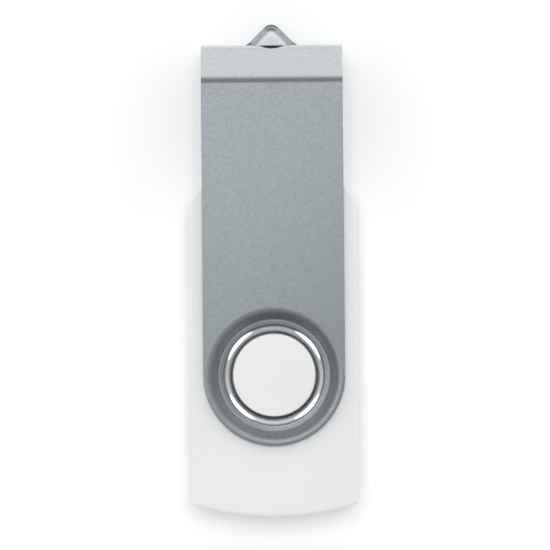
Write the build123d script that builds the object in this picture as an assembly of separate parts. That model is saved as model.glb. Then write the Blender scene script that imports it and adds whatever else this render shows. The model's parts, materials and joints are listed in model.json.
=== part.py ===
from build123d import *
import math
import os

# A flash drive with a swivel cover: a white two-shell case carries a board and a USB type A plug,
# and one folded strip of sheet steel turns about round buttons on the case to cover the plug.
#
# Millimetres. Every piece is drawn about the swivel axis, with z = 0 on the case's parting plane,
# +Y towards the plug and +Z out of the upper face. place() then moves it to the part's own frame.

# ---- Overall sizes ------------------------------------------------------------------------------
STACK = 11.0  # across the two legs of the cover, outside to outside
REAR_REACH = 16.0  # swivel axis to the middle of the curved rear end
COVER_REACH = 37.4  # swivel axis to the cover's end wall
LOOP_REACH = 2.4  # how far the keyring loop stands out of the end wall

# ---- Swivel cover, folded from one strip --------------------------------------------------------
SHEET = 0.6
COVER_WIDTH = 16.0
CREASE_REACH = 33.2  # swivel axis to the crease where the nose starts to taper
NOSE_SLOPE = 27.0  # degrees that each leg turns in at the crease
CREASE_ROUND = 2.0
NOSE_ROUND = 1.2
NOSE_CORNER = 0.35  # plan radius of the nose's corners
LEG_Z = STACK / 2  # outer plane of a leg
HOLE_R = 4.9  # inside the turned flange that runs on the case's button
DISH_R = 7.7  # where the dish round the hole starts
DISH_RIM = 0.1  # flat ring drawn with the dish
DISH_DEPTH = 0.2
DISH_SLOPE = 15.0  # degrees, at the steepest part of the dish
DISH_ROUND = 5.4
DISH_FOOT_ROUND = 0.25
LIP_ROUND = 1.2
FLANGE_REACH = 1.6  # leg's outer plane to the end of the flange

# ---- Keyring loop, pushed out of the end wall ---------------------------------------------------
LOOP_WIDTH = 3.4  # along z
LOOP_SLOPE = 45.0
LOOP_TIP_ROUND = 1.15
LOOP_FOOT_ROUND = 1.6
LOOP_ROOT_X = 4.6  # the loop's strip runs this far into the end wall
SLOT_TOP_Z = 3.5  # highest point of the curved slot above the loop
SLOT_ROUND = 2.04
SLOT_CUT = 2.0  # how deep the slots and window are cut back from the end wall

# ---- Case ---------------------------------------------------------------------------------------
CASE_WIDTH = 19.0
CASE_Z = 4.65  # parting plane to each flat face
CASE_FRONT = 22.2  # swivel axis to the front face
SHOULDER = 2.1  # chamfer beside the front face
SHOULDER_ROUND = 3.0
FRONT_CORNER = 0.6
REAR_ROUND = 31.5
REAR_CORNER = 0.4
EDGE_ROUND = 0.35
SEAM_CHAMFER = 0.1
WALL = 1.2
CEILING_Z = 3.45
FRONT_WALL_Y = 20.2  # inner side of the front wall

RECESS_R = 7.8  # shallow recess that clears the cover's dish
RECESS_Z = 4.4
GROOVE_R = 5.8  # deeper groove that the flange turns in
GROOVE_Z = 3.7
BUTTON_FOOT_R = 4.82  # the flange runs on this, with 0.08 mm of clearance
BUTTON_R = 4.65
BUTTON_FOOT_Z = 4.3
BUTTON_TAPER_Z = 4.6
BUTTON_Z = 5.4
BUTTON_EDGE = 0.2
BUTTON_CORE_R = 3.6
BUTTON_CORE_Z = 4.4
PAD_R = 6.9  # thick pad behind the groove
PAD_Z = 2.4

LIP_INSET = 0.65  # the lower shell's lip fits a rebate in the upper shell
LIP_HEIGHT = 0.7
LIP_CLEARANCE = 0.05
LIP_END_Y = 19.4

POST_X = (6.85, 8.2)  # posts that clamp the board along its edges
POST_Y = (-11.0, -4.0)
POST_LENGTH = 1.2
BOARD_PIN = (6.6, 8.6)
BOARD_PIN_R = 0.55
BOARD_PIN_BOSS_R = 1.0
BOARD_PIN_REACH = 1.4  # above the board
CASE_PIN = (7.2, 18.6)
CASE_PIN_R = 0.6
CASE_PIN_REACH = 1.6
PIN_CLEARANCE = 0.08
CRADLE_Y = (16.2, 17.2)  # ribs that hold the plug

# ---- Plug ---------------------------------------------------------------------------------------
PLUG_WIDTH = 12.0
PLUG_Z = 2.25
PLUG_OUT = 12.0  # what stands out of the case
PLUG_SHEET = 0.3
PLUG_ROUND = 0.6
PLUG_TIP_Y = CASE_FRONT + PLUG_OUT
PLUG_BACK_Y = 15.7
PLUG_CLEARANCE = 0.05
MOUTH_ROUND = 0.12
WINDOW = (2.5, 2.0)
WINDOW_X = 2.3
WINDOW_SETBACK = 5.16
PLUG_SEAM_GAP = 0.08
PLUG_LEG_LENGTH = 2.4
PLUG_LEG_Z = (-1.9, 0.6)

TONGUE_Z = -0.15
TONGUE_SETBACK = 0.3
TONGUE_FIT = 0.02
TONGUE_BLOCK_Y = (15.9, 20.2)
TONGUE_NOSE = 0.4
CONTACT_WIDTH = 1.0
CONTACT_Z = (-0.3, -0.1)
CONTACT_TAIL_Y = 13.6
CONTACT_TIP = 0.14
CONTACTS = {  # x of the contact, and how far its tip stands back from the plug's mouth
    "contact_power": (-3.5, 1.3),
    "contact_data_minus": (-1.0, 2.3),
    "contact_data_plus": (1.0, 2.3),
    "contact_ground": (3.5, 1.3),
}

# ---- Board and what is on it --------------------------------------------------------------------
BOARD_WIDTH = 15.5
BOARD_Y = (-13.6, 15.7)
BOARD_Z = (-1.1, -0.3)
BOARD_CORNER = 0.8
LEG_NOTCH_X = (5.6, 6.1)
LEG_NOTCH_Y = 13.2

LEAD_WIDTH = 0.22
LEAD_THICK = 0.127
LEAD_PITCH = 0.5
MEMORY_AT = (0.0, -3.0)
MEMORY_BODY = (12.0, 18.4, 1.0)
CONTROLLER_AT = (0.0, 10.7)
CONTROLLER_BODY = (7.0, 7.0, 1.4)
REGULATOR_AT = (3.4, 3.2)
REGULATOR_BODY = (2.9, 1.3, 0.95)
CHIP_STANDOFF = 0.1
CRYSTAL_AT = (-3.3, 3.4)
LED_AT = (7.05, -7.5)

CHIP_0603 = (1.6, 0.8)
TERMINAL = 0.3
CAPACITOR_HEIGHT = 0.75
RESISTOR_HEIGHT = 0.45
# x, y and turn in degrees
CAPACITORS_ABOVE = [(-4.4, 9.6, 0), (0.0, 8.9, 0), (4.4, 9.6, 0)]
CAPACITORS_BELOW = [(-5.6, 5.2, 90), (5.8, 4.0, 90), (0.1, 3.4, 90), (4.6, -1.2, 0), (-4.6, -1.2, 0)]
RESISTORS_ABOVE = [(-1.0, 11.4, 90), (1.0, 11.4, 90), (-4.4, 11.4, 0), (7.05, -9.45, 90)]
RESISTORS_BELOW = [(0.0, 0.0, 0), (0.0, -2.4, 0), (-3.0, -3.6, 90)]

# ---- Frame: origin under the middle of the bounding box, on the surface that the part lies on ----
PIVOT_Y = (REAR_REACH - COVER_REACH - LOOP_REACH) / 2
place = Pos(0, PIVOT_Y, STACK / 2)


def block(x, y, z):
    """A box between two x, two y and two z values."""
    size = [abs(high - low) for low, high in (x, y, z)]
    middle = [(low + high) / 2 for low, high in (x, y, z)]
    return Pos(*middle) * Box(*size)


def centred(at, size, z):
    """A box of a given plan size about a point, between two z values."""
    (px, py), (sx, sy) = at, size
    return block((px - sx / 2, px + sx / 2), (py - sy / 2, py + sy / 2), z)


def disc(radius, z, at=(0.0, 0.0)):
    """A solid cylinder between two z values."""
    low, high = z
    return Pos(at[0], at[1], (low + high) / 2) * Cylinder(radius, high - low)


def left_and_right(shape):
    """The shape and its mirror image across the middle."""
    return shape + mirror(shape, about=Plane.YZ)


def folded(points, radii, thickness):
    """The section of a sheet whose one surface runs along a rounded polyline.

    The sheet lies to the left of the line where the thickness is positive, and to its right where it is
    negative.
    """
    corners = [Vector(*point) for point in points]
    runs = [(b - a).normalized() for a, b in zip(corners, corners[1:])]
    across = [Vector(-run.Y, run.X) * thickness for run in runs]
    far, far_radii = [corners[0] + across[0]], []
    for i, radius in enumerate(radii):
        mitre = (across[i] + across[i + 1]) * (thickness**2 / (thickness**2 + across[i].dot(across[i + 1])))
        turns_left = runs[i].cross(runs[i + 1]).Z > 0
        far.append(corners[i + 1] + mitre)
        far_radii.append(radius - thickness if turns_left else radius + thickness)
    far.append(corners[-1] + across[-1])
    surfaces = FilletPolyline(*corners, radius=radii).edges() + FilletPolyline(*far, radius=far_radii).edges()
    ends = Line(corners[0], far[0]).edges() + Line(corners[-1], far[-1]).edges()
    return make_face(surfaces + ends)


# ---- Swivel cover -------------------------------------------------------------------------------
def cover_legs():
    """Both legs and the tapered nose, with the legs rounded about the swivel axis."""
    drop = (COVER_REACH - CREASE_REACH) * math.tan(math.radians(NOSE_SLOPE))
    upper = [(-COVER_WIDTH / 2, LEG_Z), (CREASE_REACH, LEG_Z), (COVER_REACH, LEG_Z - drop)]
    lower = [(y, -z) for y, z in reversed(upper)]
    section = folded(upper + lower, [CREASE_ROUND, NOSE_ROUND, NOSE_ROUND, CREASE_ROUND], -SHEET)
    strip = extrude(Plane.YZ * section, amount=COVER_WIDTH / 2, both=True)

    plan = Pos(0, COVER_REACH / 2) * Rectangle(COVER_WIDTH, COVER_REACH)
    plan = fillet(plan.vertices().group_by(Axis.Y)[-1], NOSE_CORNER) + Circle(COVER_WIDTH / 2)
    return strip & extrude(plan, amount=STACK, both=True)


def dish():
    """The dished ring round the upper leg's hole, ending in the flange that turns on the button."""
    slope = math.radians(DISH_SLOPE)
    bend = DISH_R - DISH_ROUND * math.tan(slope / 2)
    foot = bend - DISH_DEPTH / math.tan(slope)
    floor_z = LEG_Z - DISH_DEPTH
    points = [(DISH_R + DISH_RIM, LEG_Z), (bend, LEG_Z), (foot, floor_z), (HOLE_R, floor_z)]
    points.append((HOLE_R, LEG_Z - FLANGE_REACH))
    section = folded(points, [DISH_ROUND, DISH_FOOT_ROUND, LIP_ROUND], SHEET)
    return revolve(Plane.XZ * section, axis=Axis.Z)


def keyring_loop():
    """The strip pushed out of the end wall, bent to a rounded gable."""
    slope = math.radians(LOOP_SLOPE)
    rise = LOOP_REACH + LOOP_TIP_ROUND * (1 / math.cos(slope) - 1)
    run = rise / math.tan(slope)
    left = [(-LOOP_ROOT_X, COVER_REACH), (-run, COVER_REACH)]
    right = [(-x, y) for x, y in reversed(left)]
    points = left + [(0, COVER_REACH + rise)] + right
    section = folded(points, [LOOP_FOOT_ROUND, LOOP_TIP_ROUND, LOOP_FOOT_ROUND], -SHEET)
    return extrude(section, amount=LOOP_WIDTH / 2, both=True)


def end_window():
    """What the press removes from the end wall: the loop's own strip and a curved slot each side of it."""
    half = LOOP_REACH + LOOP_TIP_ROUND * (math.sqrt(2) - 1) + LOOP_FOOT_ROUND * math.tan(math.pi / 8)
    strip = Rectangle(2 * half, LOOP_WIDTH)
    slot_centre = SLOT_TOP_Z - SLOT_ROUND
    above = Pos(0, LOOP_WIDTH / 2 + SLOT_ROUND) * Rectangle(4 * SLOT_ROUND, 2 * SLOT_ROUND)
    slot = (Pos(0, slot_centre) * Circle(SLOT_ROUND)) & above
    opening = strip + slot + mirror(slot, about=Plane.XZ)
    return extrude(Plane.XZ.offset(-COVER_REACH - 1) * opening, amount=SLOT_CUT + 1)


def swivel_cover():
    """The whole cover: legs, two dishes and the keyring loop."""
    cover = cover_legs() - Cylinder(DISH_R + DISH_RIM, 2 * STACK) - end_window()
    upper = dish()
    return cover + upper + mirror(upper, about=Plane.XY) + keyring_loop()


# ---- Case ---------------------------------------------------------------------------------------
def case_outline(inset=0.0):
    """The case's plan: curved rear end, straight sides and chamfered shoulders."""
    half = CASE_WIDTH / 2
    corner_y = math.sqrt(REAR_ROUND**2 - half**2) - REAR_ROUND + REAR_REACH
    rear = ThreePointArc((-half, -corner_y), (0, -REAR_REACH), (half, -corner_y))
    right = [(half, -corner_y), (half, CASE_FRONT - SHOULDER), (half - SHOULDER, CASE_FRONT)]
    left = [(-x, y) for x, y in reversed(right)]
    plan = make_face(rear.edges() + Polyline(*right, *left).edges())
    plan = fillet(plan.vertices().group_by(Axis.Y)[0], REAR_CORNER)
    plan = fillet(plan.vertices().group_by(Axis.Y)[-1], FRONT_CORNER)
    shoulders = [v for v in plan.vertices() if abs(v.Y - CASE_FRONT + SHOULDER) < 0.01]
    plan = fillet(shoulders, SHOULDER_ROUND)
    return offset(plan, amount=-inset) if inset else plan


def button():
    """The round button on an upper face, a little slimmer above the part that the flange runs on."""
    points = [
        (0, GROOVE_Z),
        (BUTTON_FOOT_R, GROOVE_Z),
        (BUTTON_FOOT_R, BUTTON_FOOT_Z),
        (BUTTON_R, BUTTON_TAPER_Z),
        (BUTTON_R, BUTTON_Z),
        (0, BUTTON_Z),
    ]
    turned = revolve(Plane.XZ * make_face(Polyline(*points, close=True)), axis=Axis.Z)
    return fillet(turned.edges().group_by(Axis.Z)[-1], BUTTON_EDGE)


def half_case():
    """What both shells share, drawn as the upper one: skin, button, groove, cavity and plug opening."""
    shell = extrude(case_outline(), amount=CASE_Z)
    shell = fillet(shell.edges().group_by(Axis.Z)[-1], EDGE_ROUND)
    shell = chamfer(shell.edges().group_by(Axis.Z)[0], SEAM_CHAMFER)
    shell -= disc(RECESS_R, (RECESS_Z, STACK))
    shell -= disc(GROOVE_R, (GROOVE_Z, STACK))

    cavity = extrude(case_outline(WALL), amount=CEILING_Z) & block((-20, 20), (-20, FRONT_WALL_Y), (0, 20))
    shell -= cavity
    shell += disc(PAD_R, (PAD_Z, CEILING_Z)) + disc(GROOVE_R, (CEILING_Z, GROOVE_Z)) + button()
    shell -= disc(BUTTON_CORE_R, (0, BUTTON_CORE_Z))

    half_width = PLUG_WIDTH / 2 + PLUG_CLEARANCE
    plug_hole = extrude(
        RectangleRounded(2 * half_width, 2 * (PLUG_Z + PLUG_CLEARANCE), PLUG_ROUND), amount=20, both=True
    )
    shell -= Pos(0, CASE_FRONT, 0) * Rot(90, 0, 0) * plug_hole & block((-20, 20), (15, 40), (-20, 20))
    cradle = block((-POST_X[1], POST_X[1]), CRADLE_Y, (PLUG_Z + PLUG_CLEARANCE, CEILING_Z))
    return shell + cradle


def lip(inset, height, end_y):
    """The ring that joins the shells, along the sides and the rear."""
    ring = extrude(case_outline(inset) - case_outline(WALL), amount=height)
    return ring & block((-20, 20), (-20, end_y), (-1, 20))


def posts(z):
    """Posts along the board's edges."""
    half = POST_LENGTH / 2
    made = Part()
    for y in POST_Y:
        made += left_and_right(block(POST_X, (y - half, y + half), z))
    return made


def upper_shell():
    """Upper shell: clamps the board from above and holds two pins for the lower shell."""
    shell = half_case()
    shell -= lip(LIP_INSET - LIP_CLEARANCE, LIP_HEIGHT + LIP_CLEARANCE, LIP_END_Y + LIP_CLEARANCE)
    shell += posts((BOARD_Z[1], CEILING_Z))
    socket = disc(BOARD_PIN_BOSS_R, (BOARD_Z[1], CEILING_Z), BOARD_PIN)
    hole_top = BOARD_Z[1] + BOARD_PIN_REACH + PIN_CLEARANCE
    hole = disc(BOARD_PIN_R + PIN_CLEARANCE, (BOARD_Z[1] - 1, hole_top), BOARD_PIN)
    pin = disc(CASE_PIN_R, (-CASE_PIN_REACH, CEILING_Z), CASE_PIN) + disc(1.0, (0, CEILING_Z), CASE_PIN)
    return shell + left_and_right(socket) - left_and_right(hole) + left_and_right(pin)


def lower_shell():
    """Lower shell: carries the board on posts and pins, and has the lip that closes the seam."""
    shell = mirror(half_case(), about=Plane.XY) + lip(LIP_INSET, LIP_HEIGHT, LIP_END_Y)
    shell += posts((-CEILING_Z, BOARD_Z[0]))
    boss = disc(BOARD_PIN_BOSS_R, (-CEILING_Z, BOARD_Z[0]), BOARD_PIN)
    pin = disc(BOARD_PIN_R, (BOARD_Z[0], BOARD_Z[1] + BOARD_PIN_REACH), BOARD_PIN)
    socket = disc(1.0, (-CEILING_Z, 0), CASE_PIN)
    hole = disc(CASE_PIN_R + PIN_CLEARANCE, (-CASE_PIN_REACH - PIN_CLEARANCE, 1), CASE_PIN)
    return shell + left_and_right(boss + pin + socket) - left_and_right(hole)


# ---- Plug ---------------------------------------------------------------------------------------
def plug_section(inset=0.0):
    """The plug shell's rounded section, standing on the XZ plane."""
    corner = max(PLUG_ROUND - inset, 0.3)
    return Plane.XZ * RectangleRounded(PLUG_WIDTH - 2 * inset, 2 * (PLUG_Z - inset), corner)


def seam_slit():
    """The narrow joint under the plug shell, with two dovetails that lock it."""
    points = [(0, PLUG_BACK_Y - 1)]
    for y, side in ((20.0, 1), (29.5, -1)):
        reach = 0.9 * side
        points += [(0, y - 0.5), (reach, y - 0.9), (reach, y + 0.9), (0, y + 0.5)]
    points.append((0, PLUG_TIP_Y + 1))
    slit = trace(Polyline(*points), PLUG_SEAM_GAP)
    return extrude(Pos(0, 0, -PLUG_Z - 0.1) * slit, amount=PLUG_SHEET + 0.2)


def plug_shell():
    """The stamped steel sleeve, with latch windows and two legs that solder into the board."""
    length = PLUG_TIP_Y - PLUG_BACK_Y
    sleeve = extrude(plug_section(), amount=-length) - extrude(plug_section(PLUG_SHEET), amount=-length)
    mouth = [e for e in sleeve.edges().group_by(Axis.Y)[-1] if e.length > 0]
    outer = sorted(mouth, key=lambda e: -max(abs(e.center().X) / PLUG_WIDTH, abs(e.center().Z) / PLUG_Z / 2))
    sleeve = Pos(0, PLUG_BACK_Y, 0) * fillet(outer[:8], MOUTH_ROUND)
    window_y = PLUG_TIP_Y - WINDOW_SETBACK
    sleeve -= left_and_right(centred((WINDOW_X, window_y), WINDOW, (-3, 3)))
    side = (PLUG_WIDTH / 2 - PLUG_SHEET, PLUG_WIDTH / 2)
    leg = block(side, (PLUG_BACK_Y - PLUG_LEG_LENGTH, PLUG_BACK_Y + 0.5), PLUG_LEG_Z)
    return sleeve - seam_slit() + left_and_right(leg)


def contact(name):
    """One flat contact, from its ramped tip to the tail that lies on the board."""
    x, setback = CONTACTS[name]
    strip = block(
        (x - CONTACT_WIDTH / 2, x + CONTACT_WIDTH / 2), (CONTACT_TAIL_Y, PLUG_TIP_Y - setback), CONTACT_Z
    )
    tip = strip.edges().group_by(Axis.Y)[-1].sort_by(Axis.Z)[-1]
    return chamfer(tip, CONTACT_TIP)


def plug_insulator():
    """The moulded block and tongue that hold the contacts."""
    x = PLUG_WIDTH / 2 - PLUG_SHEET - TONGUE_FIT
    z = PLUG_Z - PLUG_SHEET - TONGUE_FIT
    front = PLUG_TIP_Y - TONGUE_SETBACK
    core = extrude(Plane.XZ * RectangleRounded(2 * x, 2 * z, 0.36), amount=-(front - TONGUE_BLOCK_Y[0]))
    core = Pos(0, TONGUE_BLOCK_Y[0], 0) * core
    core -= block((-x - 1, x + 1), (TONGUE_BLOCK_Y[1], front + 1), (TONGUE_Z, PLUG_Z))
    core = chamfer(core.faces().sort_by(Axis.Y)[-1].edges().sort_by(Axis.Z)[-1], TONGUE_NOSE)
    for name in CONTACTS:
        core -= contact(name)
    return core


# ---- Board --------------------------------------------------------------------------------------
def circuit_board():
    """The board, notched for the plug's legs and drilled for the locating pins."""
    width = BOARD_WIDTH / 2
    board = block((-width, width), BOARD_Y, BOARD_Z)
    rear = board.edges().filter_by(Axis.Z).group_by(Axis.Y)[0]
    board = fillet(rear, BOARD_CORNER)
    board -= left_and_right(block(LEG_NOTCH_X, (LEG_NOTCH_Y, BOARD_Y[1] + 1), (-3, 3)))
    return board - left_and_right(disc(BOARD_PIN_R + PIN_CLEARANCE, (-3, 3), BOARD_PIN))


def on_top(shape):
    """Stands a component, drawn up from z = 0, on the board's upper face."""
    return Pos(0, 0, BOARD_Z[1]) * shape


def below(shape):
    """Hangs a component, drawn up from z = 0, under the board."""
    return Pos(0, 0, BOARD_Z[0]) * mirror(shape, about=Plane.XY)


def package(at, size):
    """A moulded chip package with a round mark beside its first lead."""
    width, length, height = size
    body = centred(at, (width, length), (CHIP_STANDOFF, CHIP_STANDOFF + height))
    body = chamfer(body.edges().group_by(Axis.Z)[-1], 0.08)
    mark = (at[0] - width / 2 + 1.1, at[1] - length / 2 + 1.1)
    return body - disc(0.45, (CHIP_STANDOFF + height - 0.06, 3), mark)


def gull_wing(reach, exit_height):
    """One bent lead. It leaves the package at y = 0 and stands on the board at z = 0."""
    knee = 0.25 * reach
    points = [(0, exit_height), (knee, exit_height), (knee + 0.12 * reach, 0), (reach, 0)]
    section = folded(points, [0.07, 0.2], LEAD_THICK)
    return extrude(Plane.YZ * section, amount=LEAD_WIDTH / 2, both=True)


def lead_row(count, lead, offset_y):
    """A row of leads along the package side that faces +Y."""
    start = -(count - 1) * LEAD_PITCH / 2
    return [Pos(start + i * LEAD_PITCH, offset_y, 0) * lead for i in range(count)]


def lead_rows(at, size, count, turns, reach):
    """Rows of leads on the sides of a package that the turns, in degrees, bring round to."""
    lead = gull_wing(reach, CHIP_STANDOFF + size[2] / 2)
    made = []
    for turn in turns:
        half = size[1] / 2 if turn % 180 == 0 else size[0] / 2
        made += [Pos(at[0], at[1], 0) * Rot(0, 0, turn) * one for one in lead_row(count, lead, half)]
    return made


def regulator_leads():
    """Three leads of the small voltage regulator."""
    lead = gull_wing(0.55, CHIP_STANDOFF + 0.45)
    half = REGULATOR_BODY[1] / 2
    spots = [(-0.95, half, 0), (0.95, half, 0), (0.0, -half, 180)]
    return [Pos(REGULATOR_AT[0] + x, REGULATOR_AT[1] + y, 0) * Rot(0, 0, turn) * lead for x, y, turn in spots]


def chip_parts(height):
    """The middle and the two plated ends of a small ceramic part, drawn at the origin."""
    length, width = CHIP_0603
    inner = length / 2 - TERMINAL
    middle = block((-inner, inner), (-width / 2, width / 2), (0.02, height))
    end = block((inner, length / 2), (-width / 2 - 0.02, width / 2 + 0.02), (0, height + 0.02))
    return middle, left_and_right(end)


def spread(shape, spots):
    """Copies of a shape at x, y and turn."""
    return [Pos(x, y, 0) * Rot(0, 0, turn) * shape for x, y, turn in spots]


def crystal():
    """Ceramic base and welded lid of the crystal."""
    base = centred(CRYSTAL_AT, (3.2, 2.5), (0, 0.4))
    lid = centred(CRYSTAL_AT, (2.8, 2.1), (0.4, 0.75))
    return base, fillet(lid.edges().filter_by(Axis.Z), 0.35)


def indicator():
    """Base and clear lens of the activity light."""
    base = centred(LED_AT, (0.8, 1.6), (0, 0.25))
    lens = centred(LED_AT, (0.78, 1.05), (0.25, 0.6))
    return base, chamfer(lens.edges().group_by(Axis.Z)[-1], 0.08)


def contact_solder():
    """A solder mound over each contact's tail."""
    made = []
    for name, (x, _) in CONTACTS.items():
        mound = centred((x, 14.45), (1.3, 1.9), (BOARD_Z[1], 0.08))
        mound = chamfer(mound.edges().group_by(Axis.Z)[-1], 0.3, 0.25)
        made.append(mound - contact(name))
    return made


def leg_solder():
    """Solder under the board round each of the plug's legs."""
    x = PLUG_WIDTH / 2 - PLUG_SHEET / 2
    mound = centred((x, 14.4), (1.1, 1.8), (-1.65, BOARD_Z[0]))
    mound = chamfer(mound.edges().group_by(Axis.Z)[0], 0.3, 0.25)
    leg = block((x - PLUG_SHEET / 2, x + PLUG_SHEET / 2), (13.3, 16), PLUG_LEG_Z)
    mound -= leg
    return [mound, mirror(mound, about=Plane.YZ)]


# ---- Every node ---------------------------------------------------------------------------------
def nodes():
    """Name and shape of every node."""
    capacitor, capacitor_ends = chip_parts(CAPACITOR_HEIGHT)
    resistor, resistor_ends = chip_parts(RESISTOR_HEIGHT)
    crystal_base, crystal_lid = crystal()
    led_base, led_lens = indicator()

    def scattered(shape, above_spots, below_spots):
        return [on_top(s) for s in spread(shape, above_spots)] + [below(s) for s in spread(shape, below_spots)]

    made = {
        "swivel_cover": swivel_cover(),
        "upper_shell": upper_shell(),
        "lower_shell": lower_shell(),
        "plug_shell": plug_shell(),
        "plug_insulator": plug_insulator(),
        "circuit_board": circuit_board(),
        "memory_chip": on_top(package(MEMORY_AT, MEMORY_BODY)),
        "memory_chip_leads": [on_top(s) for s in lead_rows(MEMORY_AT, MEMORY_BODY, 24, (0, 180), 0.8)],
        "controller_chip": below(package(CONTROLLER_AT, CONTROLLER_BODY)),
        "controller_chip_leads": [
            below(s) for s in lead_rows(CONTROLLER_AT, CONTROLLER_BODY, 12, (0, 90, 180, 270), 1.0)
        ],
        "regulator": below(centred(REGULATOR_AT, REGULATOR_BODY[:2], (CHIP_STANDOFF, REGULATOR_BODY[2]))),
        "regulator_leads": [below(s) for s in regulator_leads()],
        "crystal_base": below(crystal_base),
        "crystal_lid": below(crystal_lid),
        "activity_led": on_top(led_base),
        "activity_led_lens": on_top(led_lens),
        "capacitors": scattered(capacitor, CAPACITORS_ABOVE, CAPACITORS_BELOW),
        "capacitor_ends": scattered(capacitor_ends, CAPACITORS_ABOVE, CAPACITORS_BELOW),
        "resistors": scattered(resistor, RESISTORS_ABOVE, RESISTORS_BELOW),
        "resistor_ends": scattered(resistor_ends, RESISTORS_ABOVE, RESISTORS_BELOW),
        "contact_solder": contact_solder(),
        "leg_solder": leg_solder(),
    }
    made.update({name: contact(name) for name in CONTACTS})
    return made


def main():
    """Writes one STEP file for each node."""
    os.makedirs("parts", exist_ok=True)
    for name, shape in nodes().items():
        pieces = shape if isinstance(shape, list) else [shape]
        solids = [place * solid for piece in pieces for solid in piece.solids()]
        export_step(solids[0] if len(solids) == 1 else Compound(children=solids), f"parts/{name}.step")


main()
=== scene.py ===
"""A flash drive with a swivel cover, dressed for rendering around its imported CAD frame.

Meshes are drawn in millimetres about the swivel axis, with z = 0 on the case's parting plane, +Y towards
the plug and +Z out of the upper face.
"""

from __future__ import annotations

import json
import logging
import math
from collections.abc import Iterable, Sequence
from dataclasses import dataclass, field
from enum import Enum
from typing import Any

import bmesh
import bpy
from mathutils import Matrix, Vector


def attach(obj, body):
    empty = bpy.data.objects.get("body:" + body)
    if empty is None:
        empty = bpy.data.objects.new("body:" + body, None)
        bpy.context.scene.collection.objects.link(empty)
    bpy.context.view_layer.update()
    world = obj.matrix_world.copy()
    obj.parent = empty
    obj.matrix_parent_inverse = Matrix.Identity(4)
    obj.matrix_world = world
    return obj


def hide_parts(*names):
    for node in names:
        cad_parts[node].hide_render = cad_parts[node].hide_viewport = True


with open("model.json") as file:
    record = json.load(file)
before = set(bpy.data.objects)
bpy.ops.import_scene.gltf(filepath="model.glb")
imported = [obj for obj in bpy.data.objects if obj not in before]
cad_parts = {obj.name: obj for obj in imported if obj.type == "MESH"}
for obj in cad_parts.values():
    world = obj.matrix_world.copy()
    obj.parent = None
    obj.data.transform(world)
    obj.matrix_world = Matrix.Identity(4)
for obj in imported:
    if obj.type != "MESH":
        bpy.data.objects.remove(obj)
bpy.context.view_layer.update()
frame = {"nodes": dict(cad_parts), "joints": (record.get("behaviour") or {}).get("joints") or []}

LOG = logging.getLogger("flash_drive")
MM = 0.001
SAME_POINT = 1e-4  # drawing millimetres within which drawn vertices are one
SAME_SEAM = 2e-3  # the same, where two runs that were worked out apart meet
SHARP_ANGLE = 38.0  # degrees past which an edge is shaded sharp
NOISE_RANGE = (0.3, 0.7)  # nearly all of a noise texture lies between these
Y_AXIS = Vector((0, 1, 0))
Z_AXIS = Vector((0, 0, 1))


class Body(Enum):
    """The CAD bodies that pieces ride on."""

    DRIVE = "drive"
    COVER = "cover"


# ---- Finishes -----------------------------------------------------------------------------------
def linear(colour: str) -> tuple[float, float, float, float]:
    """Turns an sRGB hex colour to linear.

    Args:
        colour: six hex digits after a hash.

    Returns:
        Red, green, blue and an alpha of 1.
    """
    parts = [int(colour[i : i + 2], 16) / 255 for i in (1, 3, 5)]
    red, green, blue = (p / 12.92 if p <= 0.04045 else ((p + 0.055) / 1.055) ** 2.4 for p in parts)
    return red, green, blue, 1.0


def add_node(
    tree: bpy.types.NodeTree,
    kind: str,
    settings: dict[str, Any] | None = None,
    inputs: dict[str | int, Any] | None = None,
) -> bpy.types.Node:
    """Adds a node with its settings, values and links.

    Args:
        tree: the tree that the node goes in.
        kind: the node's type, without "ShaderNode".
        settings: attributes of the node.
        inputs: for each input socket, a value or the socket that feeds it.

    Returns:
        The node.
    """
    node = tree.nodes.new("ShaderNode" + kind)
    for name, value in (settings or {}).items():
        setattr(node, name, value)
    for name, value in (inputs or {}).items():
        if isinstance(value, bpy.types.NodeSocket):
            tree.links.new(value, node.inputs[name])
        else:
            node.inputs[name].default_value = value
    return node


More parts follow.
